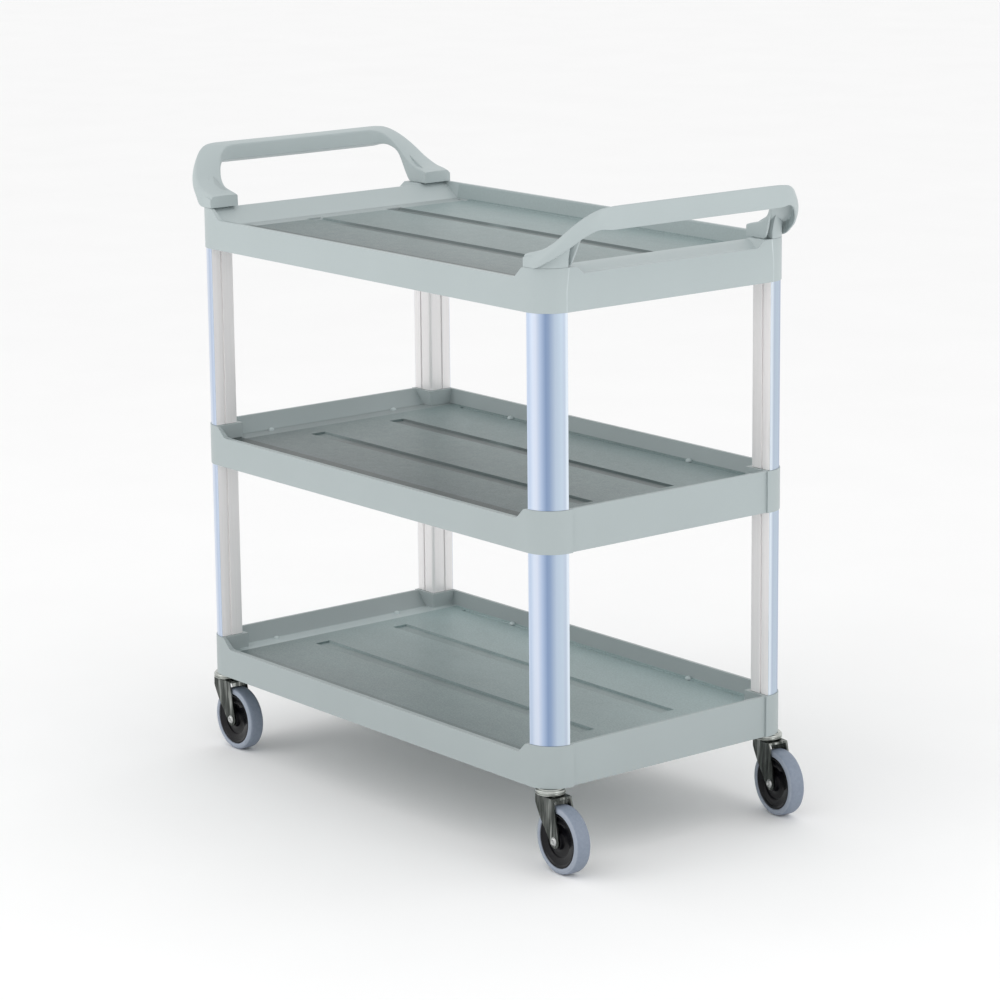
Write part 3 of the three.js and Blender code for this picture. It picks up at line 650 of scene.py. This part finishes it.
def both_sides(half):
    """A half profile from the middle outwards, and its mirror image, as one closed profile."""
    return [(r, -h) for r, h in half] + half[::-1]


hub_finish, tree, shader = new_finish("black_hub", IOR=1.5, Specular_IOR_Level=0.22)
point = place(tree)[0]
cloud = noise(tree, point, 80.0)
feed(tree, shader, "Base Color", blended(tree, cloud, (0.002, 0.002, 0.003), (0.006, 0.006, 0.008)))
feed(tree, shader, "Roughness", 0.16 + 0.14 * noise(tree, point, 150.0, 3.0))
feed(tree, shader, "Normal", bump(tree, noise(tree, point, 500.0), 0.00008, 0.5))

tyre_finish, tree, shader = new_finish("grey_tyre", IOR=1.5)
point = place(tree)[0]
scuff = noise(tree, point, 220.0, 4.0, 0.65)
from_axle = stage(tree, "ShaderNodeAttribute", {"attribute_name": "from_axle"}, output="Fac")
tread_start = 0.0478
tread = clamped((from_axle - tread_start) / 0.0012)
side_ring = blended(tree, scuff, (0.250, 0.290, 0.355), (0.340, 0.380, 0.450))
running_face = blended(tree, scuff, (0.155, 0.190, 0.245), (0.255, 0.295, 0.365))
feed(tree, shader, "Base Color", blended(tree, tread, side_ring, running_face))
feed(tree, shader, "Roughness", 0.42 + 0.22 * scuff)
feed(tree, shader, "Normal", bump(tree, noise(tree, point, 1100.0, 3.0), 0.0001, 0.5))

for corner in corners:
    axle = joints["roll_" + corner]
    centre, axis = axle["pos_m"], axle["axis"]
    wheel = "wheel_" + corner
    grid = turned(both_sides(hub_half), centre, axis, 96)
    piece = add_object("wheel_core_" + corner + "_hub", joined("hub", [(grid, True, True)]), 34.0,
                       hub_finish, wheel)
    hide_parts("wheel_core_" + corner)
    grid = turned(both_sides(tyre_half), centre, axis, 96)
    ring = joined("tyre", [(grid, True, True)])
    spots = np.empty(len(ring.vertices) * 3, np.float32)
    ring.vertices.foreach_get("co", spots)
    offset = spots.reshape(-1, 3) - np.array(centre)
    unit = np.array(Vector(axis).normalized())
    offset = offset - (offset @ unit)[:, None] * unit
    ring.attributes.new("from_axle", "FLOAT", "POINT").data.foreach_set(
        "value", np.linalg.norm(offset, axis=1).astype(np.float32))
    piece = add_object("wheel_tyre_" + corner + "_ring", ring, 34.0, tyre_finish, wheel)
    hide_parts("wheel_tyre_" + corner)


# ---- Axle bolts and nuts ----
# A round-headed steel bolt with a small dished recess, and a flanged six-sided nut on the other
# side of the fork.
bolt_profile = [(0, -17.9), (2.0, -18.0), (2.9, -19.8), (3.6, -20.1), (4.6, -19.9), (5.4, -19.2),
                (5.7, -18.2), (6.3, -18.0), (6.3, -17.3), (4.0, -17.3), (4.0, 22.6), (3.2, 23.4),
                (0, 23.5)]
nut_profile = [(4.5, 17.3), (7.8, 17.3), (8.1, 17.7), (8.1, 18.1), (7.5, 18.5), (7.4, 21.8), (6.6, 22.6),
               (4.9, 22.7), (4.5, 22.3)]


def six_sided(grid, centre, axis, inner):
    """Points further from the axis than inner are drawn in to the flats of a hexagon:
    r becomes r * 0.88 / cos(angle from the middle of the nearest flat)."""
    axis = np.array(Vector(axis).normalized())
    offset = grid - np.asarray(centre)
    along = (offset @ axis)[..., None] * axis
    radial = offset - along
    radius = np.linalg.norm(radial, axis=-1)
    angle = np.linspace(0.0, 2.0 * np.pi, grid.shape[1], endpoint=False)
    turn = np.mod(angle, np.pi / 3) - np.pi / 6
    scale = np.where((radius > inner) & (radius < 0.00785), np.minimum(0.88 / np.cos(turn), 1.0), 1.0)
    return np.asarray(centre) + along + radial * scale[..., None]


for corner in corners:
    axle = joints["roll_" + corner]
    centre, axis = axle["pos_m"], axle["axis"]
    caster = "caster_" + corner
    grid = turned(bolt_profile, centre, axis, 48)
    piece = add_object("axle_bolt_" + corner + "_turned", joined("bolt", [(grid, True, False)]), 34.0,
                       bright_steel, caster)
    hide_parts("axle_bolt_" + corner)
    grid = six_sided(turned(nut_profile, centre, axis, 72), centre, axis, 0.0055)
    piece = add_object("axle_nut_" + corner + "_hex", joined("nut", [(grid, True, True)]), 30.0,
                       bright_steel, caster)
    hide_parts("axle_nut_" + corner)
